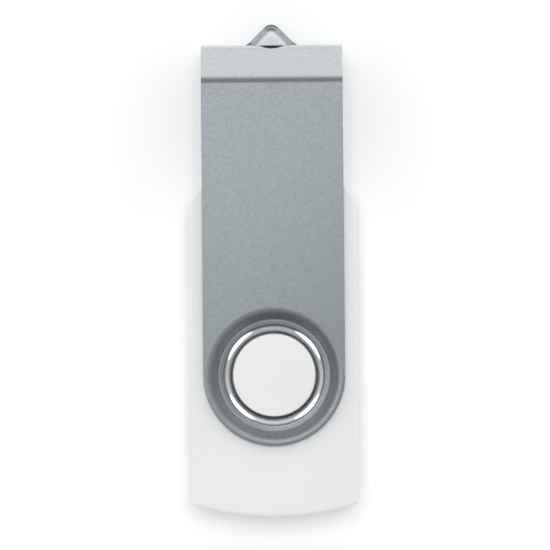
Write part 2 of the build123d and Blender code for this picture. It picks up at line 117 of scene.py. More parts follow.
@dataclass(frozen=True)
class Finish:
    """A surface of one colour that drifts a little, with a fine grain over it. Sizes are in millimetres."""

    name: str = "plain"
    colour: str = "#808080"
    drift_colour: str = "#7c7c7c"
    drift: float = 6.0  # across one patch of the drift colour
    metallic: float = 0.0
    roughness: tuple[float, float] = (0.4, 0.5)  # at the bottom and top of the grain
    ior: float = 1.5
    grain: float = 0.25  # across one grain, drawn coarser than life where that is too fine to show
    height: float = 0.004
    stretch: tuple[float, float, float] = (1.0, 1.0, 1.0)  # below 1, the grain is drawn out that way

    def material(self) -> bpy.types.Material:
        """Makes the material, or finds it if it has been made.

        Returns:
            The material.
        """
        found = bpy.data.materials.get(self.name)
        if found:
            return found
        made = bpy.data.materials.new(self.name)
        made.use_nodes = True
        made.node_tree.nodes.clear()
        self.build(made.node_tree)
        return made

    def build(self, tree: bpy.types.NodeTree) -> bpy.types.Node:
        """Fills the tree.

        Args:
            tree: an empty node tree.

        Returns:
            The shader node, for finishes that add to it.
        """
        at = add_node(tree, "TexCoord").outputs["Object"]
        drawn = add_node(tree, "Mapping", inputs={"Vector": at, "Scale": self.stretch}).outputs[0]
        grain = add_node(
            tree, "TexNoise", inputs={"Vector": drawn, "Scale": 1 / (self.grain * MM), "Detail": 2.0}
        ).outputs[0]
        drift = add_node(
            tree, "TexNoise", inputs={"Vector": at, "Scale": 1 / (self.drift * MM), "Detail": 1.0}
        ).outputs[0]
        colour = self.colouring(tree, at, drift)
        (darkest, lightest), (low, high) = NOISE_RANGE, self.roughness
        rough = add_node(
            tree,
            "MapRange",
            inputs={
                "Value": grain,
                "From Min": darkest,
                "From Max": lightest,
                "To Min": low,
                "To Max": high,
            },
        ).outputs[0]
        bump = add_node(
            tree, "Bump", inputs={"Height": grain, "Distance": self.height * MM, "Strength": 1.0}
        ).outputs[0]
        shader = add_node(
            tree,
            "BsdfPrincipled",
            inputs={
                "Base Color": colour,
                "Metallic": self.metallic,
                "Roughness": rough,
                "IOR": self.ior,
                "Normal": bump,
            },
        )
        add_node(tree, "OutputMaterial", inputs={"Surface": shader.outputs[0]})
        return shader

    def colouring(
        self, tree: bpy.types.NodeTree, at: bpy.types.NodeSocket, drift: bpy.types.NodeSocket
    ) -> bpy.types.NodeSocket:
        """Adds the nodes of the colour.

        Args:
            tree: the material's tree.
            at: object coordinates.
            drift: slow noise from 0 to 1.

        Returns:
            The colour's socket.
        """
        ramp = add_node(tree, "ValToRGB", inputs={"Fac": drift})
        colours = (self.colour, self.drift_colour)
        for element, place, colour in zip(ramp.color_ramp.elements, NOISE_RANGE, colours):
            element.position, element.color = place, linear(colour)
        return ramp.outputs[0]


@dataclass(frozen=True)
class SatinNickel(Finish):
    """Nickel plate on sheet steel that was tumbled before plating.

    The tumbling leaves a soft satin with small blotches, drawn several times as coarse as they are, and
    the turned lip of each ring, burnished by the tool that formed it, is bright.
    """

    name: str = "satin_nickel_plate"
    colour: str = "#d2d6d8"
    drift_colour: str = "#cbcfd2"
    drift: float = 0.35
    metallic: float = 1.0
    roughness: tuple[float, float] = (0.19, 0.22)
    grain: float = 0.28
    height: float = 0.0007
    axis_y: float = -11.9  # swivel axis in the frame
    lip: tuple[float, float] = (6.0, 6.2)  # radius where the bright lip ends and the satin starts
    bright: float = 0.1

    def build(self, tree: bpy.types.NodeTree) -> bpy.types.Node:
        """Adds the bright lip to the satin.

        Args:
            tree: an empty node tree.

        Returns:
            The shader node.
        """
        shader = super().build(tree)
        satin = shader.inputs["Roughness"].links[0].from_socket
        at = add_node(tree, "TexCoord").outputs["Object"]
        to_axis = (0, -self.axis_y * MM, 0)
        flat = add_node(
            tree, "Mapping", inputs={"Vector": at, "Location": to_axis, "Scale": (1, 1, 0)}
        ).outputs[0]
        radius = add_node(tree, "VectorMath", {"operation": "LENGTH"}, {0: flat}).outputs["Value"]
        inner, outer = self.lip
        lip = add_node(
            tree,
            "MapRange",
            {"interpolation_type": "SMOOTHSTEP"},
            {"Value": radius, "From Min": inner * MM, "From Max": outer * MM, "To Min": 1.0, "To Max": 0.0},
        ).outputs[0]
        mixed = add_node(tree, "Mix", {"data_type": "FLOAT"}, {0: lip, 2: satin, 3: self.bright}).outputs[0]
        tree.links.new(mixed, shader.inputs["Roughness"])
        return shader


@dataclass(frozen=True)
class PaintedShadeSteel(Finish):
    """Steel painted dark as shade: dark, bluish and dull, laid in the gap round the button and in the
    pockets beside the loop, where they lie in shade.
    """

    name: str = "painted_shade_steel"
    colour: str = "#2b333d"
    drift_colour: str = "#39424d"
    drift: float = 0.6
    metallic: float = 1.0
    roughness: tuple[float, float] = (0.45, 0.6)
    grain: float = 0.1


@dataclass(frozen=True)
class WhiteABS(Finish):
    """White ABS, moulded against a lightly sparked steel face: a soft sheen with a very fine texture."""

    name: str = "white_abs"
    colour: str = "#e7e7e6"
    drift_colour: str = "#e4e4e4"
    drift: float = 12.0
    roughness: tuple[float, float] = (0.4, 0.48)
    ior: float = 1.54
    grain: float = 0.12
    height: float = 0.002


@dataclass(frozen=True)
class BrightNickel(Finish):
    """Nickel plate on deep-drawn steel: bright, with fine lines along the way that it was drawn."""

    name: str = "bright_nickel_plate"
    colour: str = "#d5d3cd"
    drift_colour: str = "#cfcdc7"
    metallic: float = 1.0
    roughness: tuple[float, float] = (0.14, 0.22)
    grain: float = 0.12
    height: float = 0.0008
    stretch: tuple[float, float, float] = (1.0, 0.06, 1.0)


@dataclass(frozen=True)
class GlassFilledPBT(Finish):
    """Black PBT with glass fibre, moulded: matt, and faintly streaked where the fibres lie near the top."""

    name: str = "glass_filled_pbt"
    colour: str = "#1c1c1e"
    drift_colour: str = "#232325"
    drift: float = 3.0
    roughness: tuple[float, float] = (0.42, 0.6)
    ior: float = 1.6
    grain: float = 0.15
    stretch: tuple[float, float, float] = (1.0, 0.3, 1.0)


@dataclass(frozen=True)
class GoldFlash(Finish):
    """Thin hard gold on rolled copper alloy: yellow, with rolling lines along each contact."""

    name: str = "gold_flash"
    colour: str = "#e3bd6a"
    drift_colour: str = "#dcb25c"
    metallic: float = 1.0
    roughness: tuple[float, float] = (0.18, 0.26)
    grain: float = 0.1
    height: float = 0.0006
    stretch: tuple[float, float, float] = (1.0, 0.08, 1.0)


@dataclass(frozen=True)
class SolderMask(Finish):
    """Glass and epoxy laminate under green solder mask, with the copper tracks showing through."""

    name: str = "solder_mask"
    colour: str = "#1f5b35"
    drift_colour: str = "#2f7a48"
    roughness: tuple[float, float] = (0.24, 0.34)
    ior: float = 1.55
    grain: float = 0.2
    track: float = 1.1  # unit of the track pattern
    stagger: float = 0.37  # shift of one row of tracks against the next
    track_width: float = 0.12  # of that unit
    track_length: float = 3.0
    track_pitch: float = 0.5

    def colouring(
        self, tree: bpy.types.NodeTree, at: bpy.types.NodeSocket, drift: bpy.types.NodeSocket
    ) -> bpy.types.NodeSocket:
        """Draws tracks as the joints of a staggered pattern, lighter than the mask between them.

        Args:
            tree: the material's tree.
            at: object coordinates.
            drift: slow noise, which the tracks don't use.

        Returns:
            The colour's socket.
        """
        bricks = add_node(
            tree,
            "TexBrick",
            {"offset": self.stagger},
            {
                "Vector": at,
                "Color1": linear(self.colour),
                "Color2": linear(self.colour),
                "Mortar": linear(self.drift_colour),
                "Scale": 1 / (self.track * MM),
                "Mortar Size": self.track_width,
                "Brick Width": self.track_length,
                "Row Height": self.track_pitch,
            },
        )
        return bricks.outputs[0]


@dataclass(frozen=True)
class ChipResin(Finish):
    """Filled epoxy, transfer-moulded round a chip: charcoal grey and finely pitted."""

    name: str = "chip_resin"
    colour: str = "#232427"
    drift_colour: str = "#2a2b2e"
    roughness: tuple[float, float] = (0.5, 0.66)
    ior: float = 1.55
    grain: float = 0.08


@dataclass(frozen=True)
class TinPlate(Finish):
    """Matt tin, plated: pale grey with a fine crystal grain."""

    name: str = "matt_tin_plate"
    colour: str = "#c9cbcc"
    drift_colour: str = "#bfc2c4"
    metallic: float = 1.0
    roughness: tuple[float, float] = (0.32, 0.44)
    grain: float = 0.06
    height: float = 0.0008


@dataclass(frozen=True)
class Solder(Finish):
    """Tin alloy that has flowed and set: bright, with a slightly wavy skin."""

    name: str = "reflowed_solder"
    colour: str = "#d0d1d2"
    drift_colour: str = "#c2c4c6"
    drift: float = 0.8
    metallic: float = 1.0
    roughness: tuple[float, float] = (0.15, 0.3)
    grain: float = 0.4
    height: float = 0.006


@dataclass(frozen=True)
class WhiteCeramic(Finish):
    """Pressed and fired alumina: off-white, matt and sugary close to."""

    name: str = "fired_alumina"
    colour: str = "#dedbd0"
    drift_colour: str = "#d6d2c6"
    roughness: tuple[float, float] = (0.45, 0.6)
    ior: float = 1.7
    grain: float = 0.06


@dataclass(frozen=True)
class CapacitorCeramic(Finish):
    """Layered barium titanate: light brown and slightly glossy."""

    name: str = "layered_titanate"
    colour: str = "#a98663"
    drift_colour: str = "#9d7a58"
    roughness: tuple[float, float] = (0.3, 0.42)
    ior: float = 1.9
    grain: float = 0.08


@dataclass(frozen=True)
class ResistorGlaze(Finish):
    """Black glass glaze, fired over the resistor film: glossy and a little uneven."""

    name: str = "black_glaze"
    colour: str = "#17181b"
    drift_colour: str = "#1f2124"
    roughness: tuple[float, float] = (0.12, 0.24)
    grain: float = 0.3


@dataclass(frozen=True)
class LensResin(Finish):
    """Clear epoxy, cast over the light: water-clear with a faint haze at the cut sides."""

    name: str = "clear_epoxy"
    colour: str = "#eef2ee"
    drift_colour: str = "#e4eae6"
    roughness: tuple[float, float] = (0.06, 0.16)
    ior: float = 1.53
    grain: float = 0.2
    clearness: float = 0.9

    def build(self, tree: bpy.types.NodeTree) -> bpy.types.Node:
        """Lets the light through.

        Args:
            tree: an empty node tree.

        Returns:
            The shader node.
        """
        shader = super().build(tree)
        shader.inputs["Transmission Weight"].default_value = self.clearness
        return shader


@dataclass(frozen=True)
class StudioPaper(Finish):
    """Matt white paper."""

    name: str = "studio_paper"
    colour: str = "#fcfcfc"
    drift_colour: str = "#fbfbfb"
    drift: float = 400.0
    roughness: tuple[float, float] = (0.9, 0.95)
    ior: float = 1.3
    grain: float = 2.0
    height: float = 0.0
    glow: float = 0.02

    def build(self, tree: bpy.types.NodeTree) -> bpy.types.Node:
        """Lifts the paper a little, as light from below does.

        Args:
            tree: an empty node tree.

        Returns:
            The shader node.
        """
        shader = super().build(tree)
        shader.inputs["Emission Color"].default_value = (1, 1, 1, 1)
        shader.inputs["Emission Strength"].default_value = self.glow
        return shader


# ---- Mesh work ----------------------------------------------------------------------------------
@dataclass
class Workshop:
    """Turns meshes drawn in millimetres about the swivel axis into pieces of the frame.

    Args:
        axis: the swivel axis where it meets the parting plane, in metres.
        merge: how near two vertices of a CAD mesh are when they are one, in millimetres.
    """

    axis: Vector
    merge: float = 0.0005

    def to_frame(self) -> Matrix:
        """From drawing millimetres to frame metres."""
        return Matrix.Translation(self.axis) @ Matrix.Scale(MM, 4)

    def copy_of(self, node: str) -> bmesh.types.BMesh:
        """Copies a CAD node's mesh with its loose triangles merged.

        Args:
            node: the CAD node.

        Returns:
            The copy, in drawing millimetres.
        """
        bm = bmesh.new()
        bm.from_mesh(frame["nodes"][node].data)
        bmesh.ops.transform(bm, matrix=self.to_frame().inverted(), verts=bm.verts)
        bmesh.ops.remove_doubles(bm, verts=bm.verts, dist=self.merge)
        bmesh.ops.dissolve_degenerate(bm, edges=bm.edges, dist=self.merge)
        return bm

    def finish(
        self,
        bm: bmesh.types.BMesh,
        name: str,
        finishes: Sequence[Finish],
        body: Body,
        slot: str,
        nodes: Sequence[str],
    ) -> bpy.types.Object:
        """Makes a mesh a piece that rides on a body in place of CAD nodes.

        Args:
            bm: the mesh, in drawing millimetres. It is freed.
            name: the piece's name.
            finishes: its finishes, in the order of its faces' material numbers.
            body: the body that it rides on.
            slot: the record's material slot; not used.
            nodes: the CAD nodes that it stands for.

        Returns:
            The piece.
        """
        bmesh.ops.transform(bm, matrix=self.to_frame(), verts=bm.verts)
        for face in bm.faces:
            face.smooth = True
        mesh = bpy.data.meshes.new(name)
        bm.to_mesh(mesh)
        bm.free()
        mesh.set_sharp_from_angle(angle=math.radians(SHARP_ANGLE))
        for finish in finishes:
            mesh.materials.append(finish.material())
        piece = bpy.data.objects.new(name, mesh)
        bpy.context.scene.collection.objects.link(piece)
        piece.modifiers.new("flat_faces", "WEIGHTED_NORMAL").keep_sharp = True
        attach(piece, body.value)
        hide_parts(*nodes)
        LOG.info("%s: %d faces, rides on %s", name, len(mesh.polygons), body.value)
        return piece


def swept(
    bm: bmesh.types.BMesh,
    geom: Iterable[Any],
    centre: Sequence[float],
    axis: Vector,
    degrees: float,
    steps: int,
) -> list[Any]:
    """Spins vertices and edges about a centre and keeps the path.

    Args:
        bm: the mesh.
        geom: vertices and edges to sweep.
        centre: centre of the turn.
        axis: axis of the turn.
        degrees: angle of the turn.
        steps: steps along it.

    Returns:
        The vertices and edges at the end of the turn.
    """
    spun = bmesh.ops.spin(
        bm, geom=list(geom), cent=Vector(centre), axis=axis, angle=math.radians(degrees), steps=steps
    )
    return spun["geom_last"]


def drawn_on(bm: bmesh.types.BMesh, geom: Iterable[Any], by: Sequence[float]) -> list[Any]:
    """Extrudes vertices or edges by a distance.

    Args:
        bm: the mesh.
        geom: vertices and edges to extrude.
        by: how far.

    Returns:
        The vertices and edges at the far side.
    """
    geom = list(geom)
    edges = [g for g in geom if isinstance(g, bmesh.types.BMEdge)]
    if edges:
        made = bmesh.ops.extrude_edge_only(bm, edges=edges)["geom"]
        new = [g for g in made if isinstance(g, bmesh.types.BMVert)]
        rows = [e for e in made if isinstance(e, bmesh.types.BMEdge) and all(v in new for v in e.verts)]
    else:
        made = bmesh.ops.extrude_vert_indiv(bm, verts=geom)
        new, rows = made["verts"], []
    bmesh.ops.translate(bm, vec=Vector(by), verts=new)
    return new + rows


def corners(bm: bmesh.types.BMesh, geom: list[Any], points: Iterable[Sequence[float]]) -> list[Any]:
    """Draws a vertex on through the given points, one straight run to each.

    Args:
        bm: the mesh.
        geom: the vertex to start from, in a list.
        points: where the runs end.

    Returns:
        The last vertex, in a list.
    """
    for point in points:
        geom = drawn_on(bm, geom, Vector(point) - geom[0].co)
    return geom


def rounded(
    bm: bmesh.types.BMesh, edges: Iterable[bmesh.types.BMEdge], radius: float, segments: int
) -> None:
    """Rounds edges over.

    Args:
        bm: the mesh.
        edges: the edges.
        radius: how far from each edge the rounding starts.
        segments: steps across it.
    """
    bmesh.ops.bevel(
        bm,
        geom=list(edges),
        offset=radius,
        offset_type="OFFSET",
        segments=segments,
        profile=0.5,
        affect="EDGES",
        clamp_overlap=True,
        material=-1,
    )


# ---- Swivel cover -------------------------------------------------------------------------------
@dataclass
class SwivelCover:
    """One strip of sheet steel, cut flat, dished and then folded to a U. Millimetres and degrees.

    The flat blank is drawn with x across it and v along it: v = 0 at the middle of the end wall. Only
    one leg and half of the end wall are drawn, and mirrored once they are folded.
    """

    shop: Workshop
    sheet: float = 0.6
    half_width: float = 8.0
    leg_z: float = 5.5
    reach: float = 37.4  # swivel axis to the end wall
    crease_reach: float = 33.5
    nose_slope: float = 27.0
    nose_round: float = 1.2
    crease_round: float = 2.4
    dish_r: float = 7.7
    dish_round: float = 4.2
    dish_slope: float = 13.0
    dish_depth: float = 0.21
    dish_foot_round: float = 0.25
    hole_r: float = 4.9
    # the lip's three curves, from outside in: angle turned and radius
    lip_curves: tuple[tuple[float, float], ...] = ((15.0, 0.5), (20.0, 1.64), (55.0, 0.62))
    flange_reach: float = 1.6
    loop_half: float = 1.7
    loop_reach: float = 2.4
    loop_tip_round: float = 1.15
    loop_foot_round: float = 1.6
    slot_top: float = 3.85
    slot_round: float = 2.03
    slit: float = 0.04  # between the loop's strip and the pocket beside it
    pocket_depth: float = 0.25
    pocket_run: float = 0.3  # over which the pocket reaches that depth
    rim_round: float = 0.38  # outer edge of the outline
    back_round: float = 0.1  # its inner edge
    fine_round: float = 0.08  # loop, pockets and flanges
    painted_shade_margin: float = 0.03  # the painted shade in the gap reaches this far outside the hole
    cut_angle: float = 60.0  # edges sharper than this were cut
    around: int = 96  # steps round the dish
    dish_steps: int = 8
    dish_foot_steps: int = 3
    lip_step: float = 5.0  # degrees of the lip's curves in one step
    nose_steps: int = 9
    crease_steps: int = 6
    pocket_steps: int = 20
    loop_foot_steps: int = 6
    loop_tip_steps: int = 14
    rim_steps: int = 6
    fine_steps: int = 2
    bends: list[tuple[float, float, float, int]] = field(init=False)  # v at start, angle, radius, steps

    def __post_init__(self) -> None:
        """Works out where the bends start on the flat blank."""
        nose_turn = 90 - self.nose_slope
        drop = (self.reach - self.crease_reach) * math.tan(math.radians(self.nose_slope))
        nose_tangent = self.nose_round * math.tan(math.radians(nose_turn / 2))
        crease_tangent = self.crease_round * math.tan(math.radians(self.nose_slope / 2))
        slope_length = (self.reach - self.crease_reach) / math.cos(math.radians(self.nose_slope))
        nose_start = self.leg_z - drop - nose_tangent
        nose_end = nose_start + self.nose_round * math.radians(nose_turn)
        crease_start = nose_end + slope_length - nose_tangent - crease_tangent
        self.bends = [
            (nose_start, nose_turn, self.nose_round, self.nose_steps),
            (crease_start, self.nose_slope, self.crease_round, self.crease_steps),
        ]

    def axis_v(self) -> float:
        """Works out where the swivel axis is on the flat blank.

        Returns:
            Its v.
        """
        start, angle, radius, _ = self.bends[1]
        tangent = radius * math.tan(math.radians(angle / 2))
        return start + radius * math.radians(angle) + self.crease_reach - tangent

    def blank(self) -> bmesh.types.BMesh:
        """Cuts the outer skin of one leg, the nose and half of the end wall, flat, and forms its dish.

        Returns:
            The flat blank, with lines across it where it will bend.
        """
        bm = bmesh.new()
        v_axis = self.axis_v()
        bmesh.ops.create_circle(
            bm, segments=self.around, radius=self.dish_r, matrix=Matrix.Translation((0, v_axis, 0))
        )
        loop_root = self.loop_root()
        slit_v = self.loop_half + self.slit
        centre_v = self.slot_top - self.slot_round
        slot_angle = math.degrees(math.asin((slit_v - centre_v) / self.slot_round))
        slot_x = self.slot_round * math.cos(math.radians(slot_angle))
        first = [bm.verts.new((self.half_width, v_axis, 0))]
        swept(bm, first, (0, v_axis, 0), Z_AXIS, 180, self.around // 2)
        run = corners(
            bm,
            first,
            [
                (self.half_width, 0, 0),
                (loop_root, 0, 0),
                (loop_root, self.loop_half, 0),
                (loop_root, slit_v, 0),
                (slot_x, slit_v, 0),
            ],
        )
        run = swept(bm, run, (0, centre_v, 0), Z_AXIS, 180 - 2 * slot_angle, self.pocket_steps)
        corners(
            bm,
            run,
            [
                (-loop_root, slit_v, 0),
                (-loop_root, self.loop_half, 0),
                (-loop_root, 0, 0),
                (-self.half_width, 0, 0),
                (-self.half_width, v_axis, 0),
            ],
        )
        bmesh.ops.remove_doubles(bm, verts=bm.verts, dist=SAME_POINT)
        bmesh.ops.triangle_fill(bm, use_beauty=True, edges=bm.edges[:], normal=Z_AXIS)
        for start, angle, radius, steps in self.bends:
            for step in range(steps + 1):
                v = start + radius * math.radians(angle) * step / steps
                geom = bm.verts[:] + bm.edges[:] + bm.faces[:]
                bmesh.ops.bisect_plane(
                    bm, geom=geom, dist=SAME_POINT / 10, plane_co=(0, v, 0), plane_no=Y_AXIS
                )
        self.form_dish(bm, v_axis)
        self.press_pocket(bm, centre_v)
        return bm

    def press_pocket(self, bm: bmesh.types.BMesh, centre_v: float) -> None:
        """Presses in the curved pocket between the nose and the slit beside the loop, and paints its faces
        dark as shade.

        Args:
            bm: the flat blank, open inside the pocket's curved edge.
            centre_v: centre of that edge.
        """
        slit_v = self.loop_half + self.slit
        centre = Vector((0, centre_v, 0))

        def on_curve(vert: bmesh.types.BMVert) -> bool:
            """Whether a vertex lies on the curved edge."""
            return abs((vert.co - centre).length - self.slot_round) < self.slit / 2

        edges = [e for e in bm.edges if e.is_boundary and all(on_curve(v) for v in e.verts)]
        for share, pressed in ((0.5, True), (1.0, False)):
            made = bmesh.ops.extrude_edge_only(bm, edges=edges)["geom"]
            row = [g for g in made if isinstance(g, bmesh.types.BMVert)]
            lines = [g for g in made if isinstance(g, bmesh.types.BMEdge)]
            for vert in row:
                if pressed:
                    vert.co.z = -self.pocket_depth * min(1.0, (vert.co.y - slit_v) / self.pocket_run)
                vert.co.y += (slit_v - vert.co.y) * share
            edges = [e for e in lines if all(v in row for v in e.verts)]
            # Painted shade: the pressed pocket's faces take the dark steel of material 1.
            for face in {f for v in row for f in v.link_faces}:
                face.material_index = 1
        bmesh.ops.remove_doubles(bm, verts=bm.verts, dist=SAME_POINT)

    def form_dish(self, bm: bmesh.types.BMesh, v_axis: float) -> None:
        """Turns the dish, lip and flange about the hole.

        Args:
            bm: the flat blank, with a round opening where the dish goes.
            v_axis: centre of the opening.
        """
        slope = math.radians(self.dish_slope)
        bend_r = self.dish_r - self.dish_round * math.tan(slope / 2)
        foot_tangent = self.dish_foot_round * math.tan(slope / 2)
        foot_r = bend_r - self.dish_depth / math.tan(slope)
        lip_r = self.lip_outer_r()
        before = set(bm.verts)
        foot_top = foot_tangent * math.sin(slope) - self.dish_depth
        foot_centre = self.dish_foot_round - self.dish_depth
        run = [bm.verts.new((self.dish_r, v_axis, 0))]
        rim = (self.dish_r, v_axis, -self.dish_round)
        run = swept(bm, run, rim, -Y_AXIS, self.dish_slope, self.dish_steps)
        run = corners(bm, run, [(foot_r + foot_tangent * math.cos(slope), v_axis, foot_top)])
        foot = (foot_r - foot_tangent, v_axis, foot_centre)
        run = swept(bm, run, foot, Y_AXIS, self.dish_slope, self.dish_foot_steps)
        run = corners(bm, run, [(lip_r, v_axis, -self.dish_depth)])
        tilt = 0.0
        for turned, radius in self.lip_curves:
            normal = Vector((-math.sin(math.radians(tilt)), 0, math.cos(math.radians(tilt))))
            steps = round(turned / self.lip_step)
            run = swept(bm, run, run[0].co - normal * radius, -Y_AXIS, turned, steps)
            tilt += turned
        corners(bm, run, [(self.hole_r, v_axis, -self.flange_reach)])
        new = [v for v in bm.verts if v not in before]
        edges = {e for v in new for e in v.link_edges}
        bmesh.ops.spin(
            bm,
            geom=new + list(edges),
            cent=(0, v_axis, 0),
            axis=Z_AXIS,
            angle=2 * math.pi,
            steps=self.around,
            use_merge=True,
        )
        bmesh.ops.remove_doubles(bm, verts=bm.verts, dist=SAME_SEAM)

    def lip_outer_r(self) -> float:
        """Works back through the lip's curves from the hole.

        Returns:
            The radius where the lip starts to turn in.
        """
        radius, tilt = self.hole_r, 90.0
        for turned, bend in reversed(self.lip_curves):
            radius += bend * (math.sin(math.radians(tilt)) - math.sin(math.radians(tilt - turned)))
            tilt -= turned
        return radius

    def fold(self, bm: bmesh.types.BMesh) -> None:
        """Folds the flat blank to its leg, tapered nose and end wall.

        Args:
            bm: the flat blank. What is beyond the crease stays flat and becomes the leg.
        """
        for vert in bm.verts:
            x, v, w = vert.co
            y, z, heading, at = self.reach, 0.0, 90.0, 0.0
            for start, angle, radius, _ in self.bends:
                run = max(min(v, start) - at, 0.0)
                y += run * math.cos(math.radians(heading))
                z += run * math.sin(math.radians(heading))
                bent = min(max(v - start, 0.0), radius * math.radians(angle))
                turn = math.degrees(bent / radius)
                across, along = math.radians(heading - 90), math.radians(heading - 90 + turn)
                y += radius * (math.cos(along) - math.cos(across))
                z += radius * (math.sin(along) - math.sin(across))
                heading, at = heading + turn, start + radius * math.radians(angle)
            run = max(v - at, 0.0)
            y += run * math.cos(math.radians(heading))
            z += run * math.sin(math.radians(heading))
            vert.co = Vector((x, y, z + w))

    def loop_root(self) -> float:
        """Half the length of end wall that the loop's strip was cut from."""
        rise = self.loop_reach + self.loop_tip_round * (math.sqrt(2) - 1)
        return rise + self.loop_foot_round * math.tan(math.pi / 8)

    def raise_loop(self, bm: bmesh.types.BMesh) -> None:
        """Bends the keyring loop's strip out of the end wall, from one root to the other.

        Args:
            bm: the folded skin, both halves, open where the strip was.
        """
        root = self.loop_root()
        half = self.loop_half + SAME_SEAM
        ends = [v for v in bm.verts if abs(v.co.x + root) < SAME_SEAM and abs(v.co.z) < half]
        edges = [e for e in bm.edges if all(v in ends for v in e.verts)]
        foot, tip = self.loop_foot_round, self.loop_tip_round
        apex = self.loop_reach + tip * (math.sqrt(2) - 1)
        slope = apex - tip / math.sqrt(2) - foot * (1 - math.sqrt(0.5))
        top = self.reach + self.loop_reach - tip
        row = swept(bm, ends + edges, (-root, self.reach + foot, 0), Z_AXIS, 45, self.loop_foot_steps)
        row = drawn_on(bm, row, (slope, slope, 0))
        row = swept(bm, row, (0, top, 0), -Z_AXIS, 90, self.loop_tip_steps)
        row = drawn_on(bm, row, (slope, -slope, 0))
        swept(bm, row, (root, self.reach + foot, 0), Z_AXIS, 45, self.loop_foot_steps)
        bmesh.ops.remove_doubles(bm, verts=bm.verts, dist=SAME_SEAM)

    def build(self) -> bmesh.types.BMesh:
        """Folds the sheet, and gives it its thickness, rounded edges and painted shade in the gap round the
        hole and in the pockets.

        Returns:
            The mesh. Material 1 is painted shade: dark steel in the gap round the hole and in the pockets
                beside the loop.
        """
        bm = self.blank()
        self.fold(bm)
        geom = bm.verts[:] + bm.edges[:] + bm.faces[:]
        bmesh.ops.mirror(bm, geom=geom, matrix=Matrix.Identity(4), merge_dist=SAME_POINT, axis="Z")
        self.raise_loop(bm)
        bmesh.ops.recalc_face_normals(bm, faces=bm.faces)
        bmesh.ops.solidify(bm, geom=bm.faces[:], thickness=self.sheet)
        self.round_edges(bm)
        # Painted shade: faces inside the gap round the hole take the dark steel of material 1.
        for face in bm.faces:
            middle = face.calc_center_median()
            if math.hypot(middle.x, middle.y) < self.hole_r + self.painted_shade_margin:
                face.material_index = 1
        return bm

    def round_edges(self, bm: bmesh.types.BMesh) -> None:
        """Rounds the cut edges: well over round the outline, just broken at the loop, pockets and flanges.

        Args:
            bm: the folded sheet with its thickness.
        """
        nose_y = self.reach - 3  # beyond this, only the outline is rounded well over
        loop_y = self.reach + 0.2
        side_x = self.half_width - 0.01
        slot_x = self.slot_round - 0.05
        slot_z = self.loop_half + 0.1
        rim, back, fine = [], [], []
        for edge in bm.edges:
            if len(edge.link_faces) != 2 or edge.calc_face_angle() < math.radians(self.cut_angle):
                continue
            middle = (edge.verts[0].co + edge.verts[1].co) / 2
            radius = math.hypot(middle.x, middle.y)
            if radius < self.lip_outer_r():
                fine.append(edge)
            elif middle.y > nose_y and abs(middle.x) < side_x:
                if middle.y > loop_y or (abs(middle.x) < slot_x and abs(middle.z) > slot_z):
                    fine.append(edge)
            else:
                (rim if self.faces_out(edge) else back).append(edge)
        rounded(bm, rim, self.rim_round, self.rim_steps)
        rounded(bm, [e for e in back if e.is_valid], self.back_round, self.fine_steps)
        rounded(bm, [e for e in fine if e.is_valid], self.fine_round, self.fine_steps)

    def faces_out(self, edge: bmesh.types.BMEdge) -> bool:
        """Tells the two edges of the cut outline apart.

        Args:
            edge: an edge of the outline.

        Returns:
            Whether it is on the outer surface of the folded sheet.
        """
        middle = (edge.verts[0].co + edge.verts[1].co) / 2
        normals = [face.normal for face in edge.link_faces]
        if middle.y < 1:  # at the round end, where the cut face turns about z
            skin = max(normals, key=lambda n: abs(n.z))
            return skin.dot(middle) > 0
        skin = min(normals, key=lambda n: abs(n.x))
        return skin.dot(Vector((0, middle.y - self.reach / 2, middle.z))) > 0

    def dress(self) -> bpy.types.Object:
        """Makes the piece.

        Returns:
            The folded cover.
        """
        # The second finish is painted shade for the gap round the hole and the pockets beside the loop.
        finishes = [SatinNickel(axis_y=self.shop.axis.y / MM), PaintedShadeSteel()]
        return self.shop.finish(
            self.build(), "folded_swivel_cover", finishes, Body.COVER, "plated_steel", ["swivel_cover"]
        )


# ---- Case, plug and board -----------------------------------------------------------------------
@dataclass
class Case:
    """The two moulded shells."""

    shop: Workshop
    shells: tuple[str, ...] = ("upper_shell", "lower_shell")

    def dress(self) -> list[bpy.types.Object]:
        """Makes both pieces.

        Returns:
            The upper and the lower shell.
        """
        return [
            self.shop.finish(
                self.shop.copy_of(node), f"moulded_{node}", [WhiteABS()], Body.DRIVE, "case_plastic", [node]
            )
            for node in self.shells
        ]


@dataclass
class Plug:
    """The plug's drawn shell, its moulded insulator and its four contacts."""

    shop: Workshop
    contacts: tuple[str, ...] = (
        "contact_power",
        "contact_data_minus",
        "contact_data_plus",
        "contact_ground",
    )

    def dress(self) -> list[bpy.types.Object]:
        """Makes the pieces.

        Returns:
            The shell, the insulator and the contacts.
        """
        kinds = [
            ("plug_shell", BrightNickel(), "plug_steel"),
            ("plug_insulator", GlassFilledPBT(), "insulator_plastic"),
        ]
        kinds += [(name, GoldFlash(), "gold_plate") for name in self.contacts]
        return [
            self.shop.finish(self.shop.copy_of(node), f"formed_{node}", [finish], Body.DRIVE, slot, [node])
            for node, finish, slot in kinds
        ]


